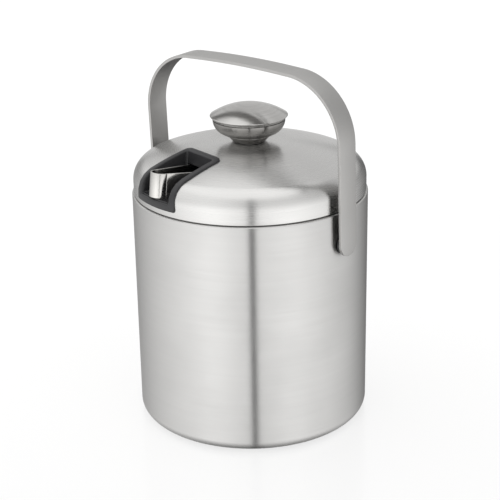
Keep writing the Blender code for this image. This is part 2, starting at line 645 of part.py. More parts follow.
def main():
    clear_scene()
    pivot_frame = frame_at("pivot_axis", (0, 0, PIVOT_Z), (0, 0, 0))
    bail_frame = frame_at("bail_axis", (0, 0, PIVOT_Z), (BAIL_LEAN, 0, 0))
    lid_frame = frame_at("lid_axis", (0, 0, 0), (0, 0, LID_TURN))
    tongs_frame = frame_at("tongs_axis", (0, -BOW_OUT, BOW_Z), (-TONGS_TILT, 0, 0), lid_frame)
    outer_shell, insulation = build_bucket()
    for side, name in ((-1, "left"), (1, "right")):
        build_pivot(side, name, pivot_frame, bail_frame, outer_shell, insulation)
    build_bail(bail_frame)
    lid_dome = build_lid(lid_frame)
    build_well(lid_frame, tongs_frame, lid_dome)
    build_knob(lid_frame)
    build_tongs(tongs_frame)


main()
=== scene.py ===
# %% [markdown]
# # A steel ice bucket with a bail, a domed lid and stored tongs
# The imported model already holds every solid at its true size. This lesson keeps
# that frame, swaps the faceted solids for smooth pressed-metal shapes, and gives
# each surface the finish that a maker would give it.

# %% Load the frame
import json
import math

import bmesh
import bpy
from mathutils import Matrix, Vector


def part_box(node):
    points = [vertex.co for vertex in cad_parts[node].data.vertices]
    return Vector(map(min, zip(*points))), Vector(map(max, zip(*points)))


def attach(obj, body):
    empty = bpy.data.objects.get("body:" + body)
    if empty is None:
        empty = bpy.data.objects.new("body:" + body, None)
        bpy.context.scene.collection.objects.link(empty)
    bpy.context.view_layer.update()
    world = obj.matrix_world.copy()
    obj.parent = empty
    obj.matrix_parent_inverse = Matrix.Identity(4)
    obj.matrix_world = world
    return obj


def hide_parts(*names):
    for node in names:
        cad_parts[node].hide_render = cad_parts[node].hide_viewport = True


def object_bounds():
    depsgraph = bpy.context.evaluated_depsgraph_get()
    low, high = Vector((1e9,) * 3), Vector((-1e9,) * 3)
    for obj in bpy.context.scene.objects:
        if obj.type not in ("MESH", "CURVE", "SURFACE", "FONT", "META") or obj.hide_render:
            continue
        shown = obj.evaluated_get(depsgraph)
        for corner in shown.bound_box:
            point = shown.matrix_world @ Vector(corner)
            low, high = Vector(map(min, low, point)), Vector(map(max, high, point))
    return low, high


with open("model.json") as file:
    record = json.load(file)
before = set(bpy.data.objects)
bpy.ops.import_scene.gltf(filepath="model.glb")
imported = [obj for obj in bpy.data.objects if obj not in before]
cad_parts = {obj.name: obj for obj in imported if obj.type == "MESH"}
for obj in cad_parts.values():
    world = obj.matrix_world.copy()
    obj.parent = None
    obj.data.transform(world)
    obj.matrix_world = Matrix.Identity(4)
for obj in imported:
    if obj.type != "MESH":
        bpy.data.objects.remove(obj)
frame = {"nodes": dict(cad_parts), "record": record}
cad_low, cad_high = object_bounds()
nodes = frame["nodes"]
print("nodes in the frame:", len(nodes))

# %% [markdown]
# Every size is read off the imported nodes, so the fine shapes sit where the
# solids are. A turned piece only needs its radius and its two heights, and the
# bail's pivot is the place that its hinge names in the record. GAP is the space
# between pieces that touch, and QUARTER is a quarter turn.

# %% Read the driving sizes from the frame
MM = 0.001


def radius_of(node):
    """Half the width of a turned node across X."""
    low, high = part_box(node)
    return (high[0] - low[0]) / 2


def heights_of(node):
    low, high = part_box(node)
    return low[2], high[2]


joints = {joint["name"]: joint for joint in frame["record"]["behaviour"]["joints"]}
PIVOT = Vector(joints["bail_swing"]["pos_m"])
PULL = Vector(joints["tongs_pull"]["axis"]).normalized()
BODY_R = radius_of("outer_shell")
BASE_Z, RIM_Z = heights_of("outer_shell")
LINER_Z = heights_of("inner_liner")[0]
LID_R = radius_of("lid_dome")
LID_Z, SEAT_Z = heights_of("lid_dome")
PAN_Z = heights_of("lid_pan")[0]
BAIL_X = radius_of("bail_handle")
SHEET = 0.6 * MM
GAP = 0.3 * MM
STUD_HOLE = 3.3 * MM
QUARTER = math.pi / 2
LID_TURN = math.atan2(PULL.y, PULL.x) + QUARTER
BAIL_LEAN = math.radians(2.08)
print("body radius", round(BODY_R, 4), "rim", round(RIM_Z, 4), "seat", round(SEAT_Z, 4))

# %% [markdown]
# ## The camera
# The camera stands well back with a long lens, so that the upright sides stay
# nearly parallel. It looks down on the lid a little, from the side where the
# tongs leave it, and the horizon is a degree off level.

# %% Place the camera
CAMERA_TURN = math.radians(41.2)
CAMERA_DIP = math.radians(21.12)
CAMERA_ROLL = math.radians(-1.01)
CAMERA_PLACE = Vector((0.5464, -0.6253, 0.4286))
CAMERA_LENS = 98.72
SENSOR_WIDTH = 36.0

camera_data = bpy.data.cameras.new("camera")
camera_data.lens = CAMERA_LENS
camera_data.sensor_width = SENSOR_WIDTH
camera_data.clip_start = 0.01
camera = bpy.data.objects.new("camera", camera_data)
bpy.context.collection.objects.link(camera)
turn = Matrix.Rotation(CAMERA_TURN, 4, "Z")
dip = Matrix.Rotation(QUARTER - CAMERA_DIP, 4, "X")
roll = Matrix.Rotation(CAMERA_ROLL, 4, "Z")
camera.matrix_world = Matrix.Translation(CAMERA_PLACE) @ turn @ dip @ roll
bpy.context.scene.camera = camera
print("camera is", round(CAMERA_PLACE.length, 3), "m away")

# %% [markdown]
# ## The light
# Steel shows its surroundings, so the light is the surroundings. The world is a
# white tent: two tall soft boxes with a narrow dark slit between them where the
# camera looks through, darker sides, and a grey roof behind a dark edge. The
# strength of the tent is worked out from its direction, turned to face the
# camera. The slit's numbers are in degrees.

# %% Helpers for shader nodes
class Graph:
    """Adds nodes to a tree and links them, one short call for each."""

    def __init__(self, tree):
        self.tree = tree

    def add(self, kind, inputs=None, **settings):
        node = self.tree.nodes.new(kind)
        for name, value in settings.items():
            setattr(node, name, value)
        for key, value in (inputs or {}).items():
            self.feed(value, node.inputs[key])
        return node

    def feed(self, value, socket):
        if isinstance(value, bpy.types.NodeSocket):
            self.tree.links.new(value, socket)
        else:
            socket.default_value = value

    def math(self, operation, first, second=0.0):
        return self.add("ShaderNodeMath", {0: first, 1: second}, operation=operation).outputs[0]

    def ramp(self, value, low, high, to_low=0.0, to_high=1.0, smooth=True):
        """Map a value from one range to another, with soft ends."""
        kind = "SMOOTHSTEP" if smooth else "LINEAR"
        inputs = {"Value": value, "From Min": low, "From Max": high}
        inputs.update({"To Min": to_low, "To Max": to_high})
        return self.add("ShaderNodeMapRange", inputs, interpolation_type=kind).outputs[0]

    def mix(self, factor, first, second):
        node = self.add("ShaderNodeMix", {0: factor, 2: first, 3: second}, data_type="FLOAT")
        return node.outputs[0]


# %% Build the tent
ROOF_EDGE = Vector((0.734, 0.49, -0.467))
SLIT_BEARING = 1.0
SLIT_HALF = 1.9
SLIT_END = 4.0
BOX_NEAR = 1.46
BOX_FAR = 1.70
FAR_WALL = 0.74
TOP_BOX = 1.36
SHADOW = 0.15
TENT_COLOR = (1.0, 0.998, 0.993, 1.0)
WHITE = (1.0, 1.0, 1.0, 1.0)


def build_tent():
    """Strength by direction: bearing from the camera's side, and height as up."""
    world = bpy.data.worlds.new("studio_tent")
    world.use_nodes = True
    bpy.context.scene.world = world
    tree = world.node_tree
    tree.nodes.clear()
    g = Graph(tree)
    place = g.add("ShaderNodeTexCoord")
    turned = g.add(
        "ShaderNodeVectorRotate",
        {"Vector": place.outputs["Generated"], "Angle": -CAMERA_TURN},
        rotation_type="Z_AXIS",
    )
    parts = g.add("ShaderNodeSeparateXYZ", {0: turned.outputs[0]})
    side, away, up = parts.outputs
    front = g.math("MULTIPLY", away, -1.0)
    bearing = g.math("ARCTAN2", side, front)
    off_centre = g.math("ABSOLUTE", g.math("SUBTRACT", bearing, math.radians(SLIT_BEARING)))
    boxes = g.ramp(off_centre, math.radians(6), math.radians(38), BOX_NEAR, BOX_FAR)
    sides = g.ramp(off_centre, math.radians(45), math.radians(155), 1.0, 0.23, smooth=False)
    walls = g.math("MULTIPLY", boxes, sides)
    slit = g.ramp(off_centre, math.radians(SLIT_HALF), math.radians(SLIT_END), 0.02, 1.0)
    walls = g.math("MULTIPLY", walls, slit)
    upper = g.ramp(up, -0.30, 0.40, 1.0, 0.60)
    walls = g.math("MULTIPLY", walls, upper)
    right_fall = g.ramp(bearing, math.radians(100), math.radians(170), 1.0, 0.42)
    walls = g.math("MULTIPLY", walls, right_fall)
    on_right = g.ramp(bearing, math.radians(8), math.radians(40))
    low_right = g.mix(on_right, 1.0, g.ramp(up, -0.46, -0.20, 1.05, 0.88))
    walls = g.math("MULTIPLY", walls, low_right)
    behind = g.math("MULTIPLY", g.ramp(away, 0.15, 0.55), g.ramp(up, 0.08, 0.30))
    behind = g.math("MAXIMUM", behind, g.ramp(away, 0.94, 0.985))
    walls = g.mix(behind, walls, FAR_WALL)
    left_top = g.math("MULTIPLY", g.ramp(side, -0.60, -0.20, 1.0, 0.0), g.ramp(up, 0.15, 0.45))
    walls = g.mix(left_top, walls, 1.15)
    both = {0: turned.outputs[0], 1: ROOF_EDGE}
    edge = g.add("ShaderNodeVectorMath", both, operation="DOT_PRODUCT").outputs["Value"]
    top_box = g.ramp(edge, -0.08, -0.02, TOP_BOX, SHADOW)
    roof = g.mix(g.ramp(edge, 0.0, 0.06), top_box, 1.0)
    sky = g.mix(g.ramp(up, 0.70, 0.86), walls, roof)
    floor_fall = g.ramp(up, -0.90, -0.49, 0.10, 1.0)
    light = g.math("MULTIPLY", sky, floor_fall)
    tent = g.add("ShaderNodeBackground", {"Color": TENT_COLOR, "Strength": light}).outputs[0]
    seen = g.add("ShaderNodeBackground", {"Color": WHITE, "Strength": 1.0}).outputs[0]
    from_camera = g.add("ShaderNodeLightPath").outputs["Is Camera Ray"]
    choose = g.add("ShaderNodeMixShader", {0: from_camera, 1: tent, 2: seen})
    g.add("ShaderNodeOutputWorld", {"Surface": choose.outputs[0]})


build_tent()
bpy.context.scene.view_settings.view_transform = "Standard"

# %% [markdown]
# The floor is white and slightly glossy, lit to the point where only the
# bucket's reflection darkens it.

# %% Lay the floor
FLOOR_SIZE = 8.0
FLOOR_DROP = 0.2 * MM
FLOOR_TONE = (0.25, 0.25, 0.25, 1.0)
FLOOR_ROUGHNESS = 0.16
FLOOR_GLOW = 0.70


def build_floor():
    bpy.ops.mesh.primitive_plane_add(size=FLOOR_SIZE, location=(0, 0, -FLOOR_DROP))
    floor = bpy.context.object
    floor.name = "floor"
    made = bpy.data.materials.new("floor_white")
    made.use_nodes = True
    shader = made.node_tree.nodes["Principled BSDF"]
    shader.inputs["Base Color"].default_value = FLOOR_TONE
    shader.inputs["Roughness"].default_value = FLOOR_ROUGHNESS
    shader.inputs["Emission Color"].default_value = WHITE
    shader.inputs["Emission Strength"].default_value = FLOOR_GLOW
    floor.data.materials.append(made)
    floor.visible_glossy = False


build_floor()

# %% [markdown]
# ## Finishes
# Sheet steel is sanded while it turns, so its scratches run round the axis. The
# grain group reads the distance from the axis and the height, which makes rings
# on a dome and level lines on a wall from one pattern.

# %% A group for turned grain
def new_group(name, inputs, outputs):
    group = bpy.data.node_groups.new(name, "ShaderNodeTree")
    for label, value in inputs.items():
        socket = group.interface.new_socket(label, in_out="INPUT", socket_type="NodeSocketFloat")
        socket.default_value = value
    for label, kind in outputs.items():
        group.interface.new_socket(label, in_out="OUTPUT", socket_type=kind)
    g = Graph(group)
    g.source = g.add("NodeGroupInput").outputs
    g.sink = g.add("NodeGroupOutput")
    return group, g


def turned_grain_group():
    """Fine rings round Z, with slower bands and soft handling marks."""
    inputs = {"Lines": 5200.0, "Bands": 420.0, "Smudge": 28.0}
    outputs = {"Height": "NodeSocketFloat", "Bands": "NodeSocketFloat", "Smudge": "NodeSocketFloat"}
    group, g = new_group("turned_grain", inputs, outputs)
    place = g.add("ShaderNodeTexCoord").outputs["Object"]
    x, y, z = g.add("ShaderNodeSeparateXYZ", {0: place}).outputs
    flat = g.add("ShaderNodeCombineXYZ", {0: x, 1: y, 2: 0.0}).outputs[0]
    away = g.add("ShaderNodeVectorMath", {0: flat}, operation="LENGTH").outputs["Value"]

    def rings(scale, wander, detail):
        level = g.math("MULTIPLY", z, scale)
        reach = g.math("MULTIPLY", away, scale)
        across = g.math("MULTIPLY", x, wander)
        along = g.math("MULTIPLY", y, wander)
        spot = g.add("ShaderNodeCombineXYZ", {0: across, 1: along, 2: level}).outputs[0]
        noise = g.add(
            "ShaderNodeTexNoise",
            {"Vector": spot, "W": reach, "Scale": 1.0, "Detail": detail, "Roughness": 0.6},
            noise_dimensions="4D",
        )
        return noise.outputs[0]

    g.feed(rings(g.source["Lines"], 24.0, 2.0), g.sink.inputs["Height"])
    g.feed(rings(g.source["Bands"], 9.0, 1.0), g.sink.inputs["Bands"])
    inputs = {"Vector": place, "Scale": g.source["Smudge"], "Detail": 3.0}
    smudge = g.add("ShaderNodeTexNoise", inputs)
    g.feed(smudge.outputs[0], g.sink.inputs["Smudge"])
    return group


TURNED_GRAIN = turned_grain_group()


# %% [markdown]
# Brushed steel is a metal with two roughnesses: smooth along the scratches and
# rough across them. Anisotropy does that, and the grain group varies the
# roughness and the bump so that a highlight breaks into fine threads.

# %% Brushed steel that was finished on a lathe
def new_material(name, color, roughness, metallic=0.0, **sockets):
    made = bpy.data.materials.new(name)
    made.use_nodes = True
    shader = made.node_tree.nodes["Principled BSDF"]
    shader.inputs["Base Color"].default_value = (*color, 1.0)
    shader.inputs["Roughness"].default_value = roughness
    shader.inputs["Metallic"].default_value = metallic
    for label, value in sockets.items():
        shader.inputs[label.replace("_", " ")].default_value = value
    return made, shader, Graph(made.node_tree)


def tinted(g, factor, dark, light):
    """A colour that moves between two with a mask."""
    node = g.add("ShaderNodeMix", {0: factor, 6: (*dark, 1.0), 7: (*light, 1.0)}, data_type="RGBA")
    return node.outputs[2]


def add_bump(g, shader, height, strength, distance):
    inputs = {"Height": height, "Strength": strength, "Distance": distance}
    g.feed(g.add("ShaderNodeBump", inputs).outputs[0], shader.inputs["Normal"])


def brushed_steel(name, tone, roughness, spread, bump, lines=5200.0, contrast=0.02):
    sockets = {"Anisotropic": spread, "Anisotropic_Rotation": 0.25}
    made, shader, g = new_material(name, tone, roughness, 1.0, **sockets)
    rings = g.add("ShaderNodeGroup", {}, node_tree=TURNED_GRAIN)
    rings.inputs["Lines"].default_value = lines
    shade = g.ramp(rings.outputs["Bands"], 0.3, 0.7)
    dark = tuple(c * (1 - contrast) for c in tone)
    light = tuple(min(1.0, c * (1 + contrast)) for c in tone)
    g.feed(tinted(g, shade, dark, light), shader.inputs["Base Color"])
    rough = g.ramp(rings.outputs["Height"], 0.3, 0.7, roughness * 0.92, roughness * 1.08)
    wear = g.ramp(rings.outputs["Smudge"], 0.35, 0.75, 0.0, roughness * 0.10)
    g.feed(g.math("ADD", rough, wear), shader.inputs["Roughness"])
    add_bump(g, shader, rings.outputs["Height"], bump, 0.02 * MM)
    return made


STEEL_TONE = (0.640, 0.636, 0.628)
SHELL_STEEL = brushed_steel("shell_steel", STEEL_TONE, 0.31, 1.0, 0.12, 5200.0, 0.008)
LID_STEEL = brushed_steel("lid_steel", STEEL_TONE, 0.27, 0.80, 0.03, 4200.0, 0.010)
KNOB_STEEL = brushed_steel("knob_steel", (0.53, 0.523, 0.512), 0.22, 0.35, 0.30, 4500.0, 0.05)
BOWL_STEEL = brushed_steel("bowl_steel", (0.295, 0.288, 0.278), 0.27, 0.92, 0.05, 6500.0)
LINER_STEEL = brushed_steel("liner_steel", (0.62, 0.615, 0.605), 0.34, 0.60, 0.25)
BARE_STEEL = brushed_steel("bare_steel", (0.56, 0.56, 0.56), 0.38, 0.30, 0.30, 3000.0)

# %% [markdown]
# ## Modelling helpers
# Most of the bucket is turned, so one helper rounds the corners of an outline
# and another spins it. A strip helper pulls a flat section along a path, as a
# press bends a strip, and bevels its long edges.

# %% Outlines and turned pieces
def arc_points(cx, cy, radius, start, end, steps):
    points = []
    for i in range(steps + 1):
        angle = start + (end - start) * i / steps
        points.append((cx + radius * math.cos(angle), cy + radius * math.sin(angle)))
    return points


def rounded(corners, steps):
    """Round a closed outline. Each corner is (x, y, radius)."""
    outline = []
    count = len(corners)
    for i, (x, y, radius) in enumerate(corners):
        here = Vector((x, y))
        before = (Vector(corners[i - 1][:2]) - here).normalized()
        after = (Vector(corners[(i + 1) % count][:2]) - here).normalized()
        half = before.angle(after) / 2
        start = here + before * radius / math.tan(half)
        middle = here + (before + after).normalized() * radius / math.sin(half)
        sweep = math.pi - 2 * half
        if before.cross(after) > 0:
            sweep = -sweep
        for k in range(steps + 1):
            turned = Matrix.Rotation(sweep * k / steps, 2) @ (start - middle)
            outline.append(tuple(middle + turned))
    return outline


def to_object(bm, name, material, sharp=30.0):
    bmesh.ops.remove_doubles(bm, verts=bm.verts, dist=1e-6)
    bmesh.ops.recalc_face_normals(bm, faces=bm.faces)
    mesh = bpy.data.meshes.new(name)
    bm.to_mesh(mesh)
    bm.free()
    mesh.materials.append(material)
    mesh.shade_smooth()
    mesh.set_sharp_from_angle(angle=math.radians(sharp))
    made = bpy.data.objects.new(name, mesh)
    bpy.context.collection.objects.link(made)
    return made


def spun(name, outline, material, segments):
    """Spin a closed outline of (radius, height) round Z."""
    bm = bmesh.new()
    verts = [bm.verts.new((max(r, 0.0), 0.0, z)) for r, z in outline]
    edges = []
    for first, second in zip(verts, verts[1:] + verts[:1]):
        if first.co.x > 1e-7 or second.co.x > 1e-7:
            edges.append(bm.edges.new((first, second)))
    bmesh.ops.spin(
        bm,
        geom=verts + edges,
        cent=(0, 0, 0),
        axis=(0, 0, 1),
        angle=math.tau,
        steps=segments,
        use_merge=True,
    )
    return to_object(bm, name, material)


def stand_for(piece, body, node):
    """Ride on a body and stand for one of the frame's own nodes."""
    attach(piece, body)
    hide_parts(node)


# %% [markdown]
# ## The bucket's wall
# The outer shell is one drawn tube. Its foot turns in with a soft corner and its
# mouth is rolled over a tight radius, where the liner's flange meets it.

# %% Outer shell and liner
BASE_CORNER = 7.0 * MM
BASE_HOLE = BODY_R - 13.0 * MM
LIP_R = 72.0 * MM
LIP_ROLL = 0.9 * MM
LINER_R = BODY_R - 6.7 * MM
LINER_CORNER = 12.0 * MM
LINER_HEM = 4.0 * MM
HEM_ROLL = 0.5 * MM
MOUTH_ROLL = 1.0 * MM
MOUTH_X = LINER_R + 0.2 * MM


def build_walls():
    turn_x = BODY_R - BASE_CORNER
    turn_z = BASE_Z + BASE_CORNER
    shell = [(BASE_HOLE, BASE_Z)]
    shell += arc_points(turn_x, turn_z, BASE_CORNER, -QUARTER, 0, 14)
    shell += arc_points(BODY_R - LIP_ROLL, RIM_Z - LIP_ROLL, LIP_ROLL, 0, QUARTER, 6)
    shell += [(LIP_R, RIM_Z), (LIP_R, RIM_Z - SHEET), (BODY_R - SHEET, RIM_Z - SHEET)]
    shell += arc_points(turn_x, turn_z, BASE_CORNER - SHEET, 0, -QUARTER, 14)
    shell += [(BASE_HOLE, BASE_Z + SHEET)]
    wall = spun("wall_shell", shell, SHELL_STEEL, 256)
    stand_for(wall, "bucket", "outer_shell")

    hem = LIP_R - GAP
    hem_low = RIM_Z - LINER_HEM
    turn_x = LINER_R - LINER_CORNER
    turn_z = LINER_Z + LINER_CORNER
    liner = [(0, LINER_Z)]
    liner += arc_points(turn_x, turn_z, LINER_CORNER, -QUARTER, 0, 12)
    liner += [(LINER_R, RIM_Z - SHEET), (hem - SHEET, RIM_Z - SHEET)]
    liner += [(hem - SHEET, hem_low), (hem, hem_low)]
    liner += arc_points(hem - HEM_ROLL, RIM_Z - HEM_ROLL, HEM_ROLL, 0, QUARTER, 4)
    liner += arc_points(MOUTH_X, RIM_Z - MOUTH_ROLL, MOUTH_ROLL, QUARTER, math.pi, 6)
    liner += arc_points(turn_x, turn_z, LINER_CORNER - SHEET, 0, -QUARTER, 12)
    liner += [(0, LINER_Z + SHEET)]
    inside = spun("ice_liner", liner, LINER_STEEL, 192)
    stand_for(inside, "bucket", "inner_liner")


build_walls()

# %% [markdown]
# The base plate closes the shell from below and is pressed with a shallow step
# so that it stays flat. The bucket stands on a rubber ring with fine ribs.

# %% Base plate and foot ring
def rubber(name, tone, grain):
    made, shader, g = new_material(name, tone, 0.75)
    place = g.add("ShaderNodeTexCoord").outputs["Object"]
    pores = g.add("ShaderNodeTexNoise", {"Vector": place, "Scale": grain, "Detail": 4.0})
    dusty = tuple(c * 1.9 for c in tone)
    shade = g.ramp(pores.outputs[0], 0.45, 0.8)
    g.feed(tinted(g, shade, tone, dusty), shader.inputs["Base Color"])
    g.feed(g.ramp(pores.outputs[0], 0.3, 0.7, 0.62, 0.85), shader.inputs["Roughness"])
    add_bump(g, shader, pores.outputs[0], 0.35, 0.1 * MM)
    return made


FOOT_RUBBER = rubber("foot_rubber", (0.035, 0.035, 0.036), 900.0)
SEAL_RUBBER = rubber("seal_silicone", (0.075, 0.075, 0.078), 1400.0)


def build_base():
    plate_low, plate_high = heights_of("base_plate")
    plate_r = radius_of("base_plate")
    step = 0.6 * MM
    inner = 38 * MM
    slope = inner + 2 * step
    plate = [(0, plate_low + step), (inner, plate_low + step), (slope, plate_low)]
    plate += [(plate_r, plate_low), (plate_r, plate_high), (slope, plate_high)]
    plate += [(inner, plate_high + step), (0, plate_high + step)]
    disc = spun("base_disc", plate, LINER_STEEL, 96)
    stand_for(disc, "bucket", "base_plate")

    foot_low, foot_high = heights_of("foot_ring")
    foot_r = radius_of("foot_ring")
    foot_in = foot_r - 9.0 * MM
    groove = 0.4 * MM
    flank = 0.3 * MM
    ribs = 4
    pitch = (foot_r - foot_in - 2 * groove) / ribs
    ring = [(foot_r, foot_high), (foot_r, foot_low + groove), (foot_r - groove, foot_low)]
    for i in range(1, ribs):
        valley = foot_r - groove - pitch * i
        ring += [(valley + flank, foot_low), (valley, foot_low + groove)]
        ring += [(valley - flank, foot_low)]
    ring += [(foot_in + groove, foot_low), (foot_in, foot_low + groove), (foot_in, foot_high)]
    pad = spun("foot_pad", ring, FOOT_RUBBER, 96)
    stand_for(pad, "bucket", "foot_ring")


build_base()

# %% [markdown]
# ## The lid
# The dome is pressed from one disc: an upright rim, a tight shoulder and a
# shallow crown that flattens where the knob sits. Its outline is three arcs that
# run into each other. A mouth is cut through it for the tongs' well.

# %% The dome's outline
SHOULDER = 13.4 * MM
CROWN = 190.0 * MM
DISH = 60.0 * MM
SHOULDER_X = LID_R - SHOULDER
SHOULDER_Z = LID_Z + 7.7 * MM
CROWN_Z = SHOULDER_Z - math.sqrt((CROWN - SHOULDER) ** 2 - SHOULDER_X**2)
SHOULDER_END = SHOULDER_X + 0.345 * SHOULDER
BELOW_RIM = 10.0 * MM


def dome_line(lift=0.0, fine=1):
    """The lid's outside from the top of its rim to the seat, moved out by a lift."""
    dish_z = SEAT_Z - DISH
    dish_x = math.sqrt((CROWN - DISH) ** 2 - (dish_z - CROWN_Z) ** 2)
    lean = math.atan2(SHOULDER_Z - CROWN_Z, SHOULDER_X)
    flat = math.atan2(dish_z - CROWN_Z, dish_x)
    line = arc_points(SHOULDER_X, SHOULDER_Z, SHOULDER + lift, 0, lean, 14 * fine)
    line += arc_points(0, CROWN_Z, CROWN + lift, lean, flat, 12 * fine)[1:]
    line += arc_points(dish_x, dish_z, DISH + lift, flat, QUARTER, 6 * fine)[1:]
    return line


# %% [markdown]
# The well lies on the lid like a saddle, so its outline is drawn in two surface
# coordinates: how far across from the centre line, and how far along the surface
# from the lid's middle. A small function turns those into a place on the lid.

# %% From surface coordinates to a place on the lid
def mixed(first, second, share):
    """The point that lies a share of the way from one to another."""
    return tuple(a + (b - a) * share for a, b in zip(first, second))


def side_lines(across, lift):
    """The lid's surface in an upright plane beside its middle, as (out, height)."""
    points = [(0.0, SEAT_Z + lift)]
    for r, z in dome_line(lift, 2)[::-1]:
        if r <= abs(across):
            points[0] = (0.0, z)
        else:
            points.append((math.sqrt(r * r - across * across), z))
    rim = math.sqrt((LID_R + lift) ** 2 - across * across)
    points.append((rim, LID_Z - BELOW_RIM))
    return points


def reach(across):
    """The length of the surface from the lid's middle to the upright rim."""
    line = [(u, z) for u, z in side_lines(across, 0.0) if z >= SHOULDER_Z - 1e-6]
    return sum(math.hypot(b[0] - a[0], b[1] - a[1]) for a, b in zip(line, line[1:]))


def on_lid(across, along, lift=0.0):
    """A place on the lid, in its own frame, with the well along -Y."""
    line = side_lines(across, 0.0)
    out, height = line[-1]
    left = along * reach(across) / reach(0.0)
    for (u0, z0), (u1, z1) in zip(line, line[1:]):
        length = math.hypot(u1 - u0, z1 - z0)
        if left <= length:
            out, height = mixed((u0, z0), (u1, z1), left / length)
            break
        left -= length
    radius = math.hypot(out, across)
    if height <= SHOULDER_Z:
        lean = 0.0
    elif radius >= SHOULDER_END:
        lean = math.atan2(height - SHOULDER_Z, radius - SHOULDER_X)
    else:
        lean = math.atan2(height - CROWN_Z, radius)
    grown = radius + math.cos(lean) * lift
    x = across / radius * grown
    y = -out / radius * grown
    return Vector((x, y, height + math.sin(lean) * lift))


def along_at_height(height):
    """How far along the surface the rim reaches a height, on the centre line."""
    line = side_lines(0.0, 0.0)
    total = 0.0
    for (u0, z0), (u1, z1) in zip(line, line[1:]):
        if u1 >= line[-1][0] - 1e-9 and z1 < height <= z0:
            return total + (z0 - height)
        total += math.hypot(u1 - u0, z1 - z0)
    return total


# %% [markdown]
# The well is one black moulding. A ring is laid on the lid for each line of its
# section: the flange's outer edge, its rounded top, its inner edge, the wall and
# the floor. The rings have the same number of points, so neighbours are bridged.

# %% The well's rings
TILT = math.asin(PULL.z)
STRIP = 15.3 * MM
STRIP_ROOM = 0.5 * MM
BOW_OUT = LID_R - 4.8 * MM
BOW_Z = LID_Z + 16.4 * MM
FLOOR = -(STRIP / 2 + STRIP_ROOM)
LID_FRAME = Matrix.Rotation(LID_TURN, 4, "Z")
TILT_FRAME = Matrix.Translation((0, -BOW_OUT, BOW_Z)) @ Matrix.Rotation(-TILT, 4, "X")
TONGS_FRAME = LID_FRAME @ TILT_FRAME
CORNER_STEPS = 8
EDGE_POINTS = 10


def well_ring(half_back, half_front, back, front, corner_back, corner_front):
    """A closed outline of (across, along), with the same count of points each time."""
    corners = [(half_back, back, corner_back), (-half_back, back, corner_back)]
    corners += [(-half_front, front, corner_front), (half_front, front, corner_front)]
    outline = rounded(corners, CORNER_STEPS)
    per_corner = CORNER_STEPS + 1
    ring = []
    for i in range(len(corners)):
        part = outline[i * per_corner : (i + 1) * per_corner]
        following = outline[(i + 1) * per_corner % len(outline)]
        ring += part
        ring += [mixed(part[-1], following, k / EDGE_POINTS) for k in range(1, EDGE_POINTS)]
    return ring


def between(first, second, share):
    """The ring that lies a share of the way from one ring to another."""
    return [mixed(a, b, share) for a, b in zip(first, second)]


def on_floor(spot, drop, inset):
    """Move a point of the inner edge down onto the sloping floor."""
    local = TILT_FRAME.inverted() @ spot
    local.z = FLOOR - drop
    local.x -= math.copysign(min(abs(local.x), inset), local.x)
    return TILT_FRAME @ local


def skin(bm, rings):
    """Bridge neighbouring rings of places and cap both ends."""
    loops = []
    rows = []
    for ring in rings:
        verts = [bm.verts.new(place) for place in ring]
        loops.append([bm.edges.new(pair) for pair in zip(verts, verts[1:] + verts[:1])])
        rows.append(verts)
    for first, second in zip(loops, loops[1:]):
        bmesh.ops.bridge_loops(bm, edges=first + second)
    for loop in (loops[0], loops[-1]):
        bmesh.ops.contextual_create(bm, geom=loop)
    bmesh.ops.recalc_face_normals(bm, faces=bm.faces)
    return rows


def bridged(name, rings, material):
    """A closed skin over a list of rings of places."""
    bm = bmesh.new()
    skin(bm, rings)
    bmesh.ops.triangulate(bm, faces=[f for f in bm.faces if len(f.verts) > 4])
    return to_object(bm, name, material, 40.0)


def black_plastic(name):
    made, shader, g = new_material(name, (0.024, 0.024, 0.026), 0.40)
    place = g.add("ShaderNodeTexCoord").outputs["Object"]
    grain = g.add("ShaderNodeTexNoise", {"Vector": place, "Scale": 2600.0, "Detail": 3.0})
    patches = g.add("ShaderNodeTexNoise", {"Vector": place, "Scale": 70.0, "Detail": 2.0})
    shade = g.ramp(patches.outputs[0], 0.3, 0.75)
    tone = tinted(g, shade, (0.021, 0.021, 0.023), (0.029, 0.029, 0.031))
    g.feed(tone, shader.inputs["Base Color"])
    g.feed(g.ramp(patches.outputs[0], 0.3, 0.7, 0.36, 0.46), shader.inputs["Roughness"])
    add_bump(g, shader, grain.outputs[0], 0.25, 0.04 * MM)
    return made


WELL_PLASTIC = black_plastic("well_plastic")


